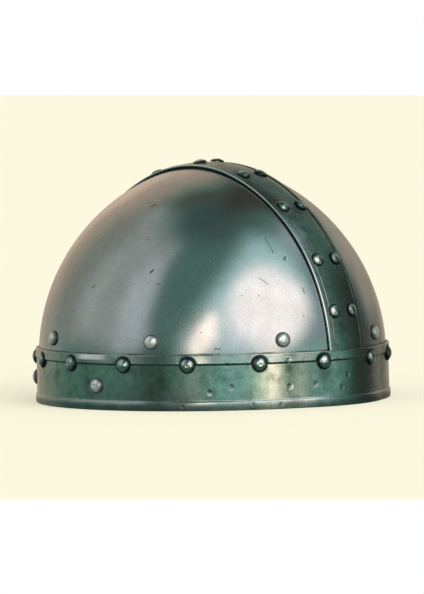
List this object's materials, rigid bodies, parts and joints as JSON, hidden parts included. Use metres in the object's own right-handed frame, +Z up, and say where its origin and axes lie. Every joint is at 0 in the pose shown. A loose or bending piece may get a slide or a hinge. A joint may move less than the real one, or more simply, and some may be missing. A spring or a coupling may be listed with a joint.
{
  "type": "riveted skull cap helmet",
  "caption": "Riveted steel skull cap: two dished halves under a crest strap, a brow band with raised borders, and a leather lining.",
  "frame": {"origin": "middle of the brow band's lower edge, which is the plane that the helmet rests on", "axes": "-Y is the front of the helmet, +X the wearer's left, +Z up through the crown"},
  "size_m": [0.225, 0.2356, 0.1517],
  "materials": {
    "skull_steel": "satin polished plate with fine grain, nicks and scratches",
    "dark_steel": "darker steel with a green tinge, burnished, dimpled by the hammer",
    "rivet_steel": "domed rivet heads, worn bright",
    "harness_leather": "brown vegetable tanned leather, waxed",
    "tongue_leather": "natural tan leather, flesh side towards the steel"
  },
  "bodies": {
    "root": {"skull_half_right": "skull_steel", "skull_half_left": "skull_steel", "crest_strap": "dark_steel", "brow_band": "dark_steel", "crest_rivets_right": "rivet_steel", "crest_rivets_left": "rivet_steel", "brow_rivets_right": "rivet_steel", "brow_rivets_left": "rivet_steel", "lining_rivets": "rivet_steel", "lining_washers": "rivet_steel", "chin_rivets": "rivet_steel", "chin_washers": "rivet_steel", "lining_headband": "harness_leather", "lining_tongue_1": "tongue_leather", "lining_tongue_2": "tongue_leather", "lining_tongue_3": "tongue_leather", "lining_tongue_4": "tongue_leather", "lining_tongue_5": "tongue_leather", "lining_tongue_6": "tongue_leather", "lining_tongue_7": "tongue_leather", "lining_tongue_8": "tongue_leather", "chin_loop_right": "harness_leather", "chin_loop_left": "harness_leather"}
  },
  "joints": []
}
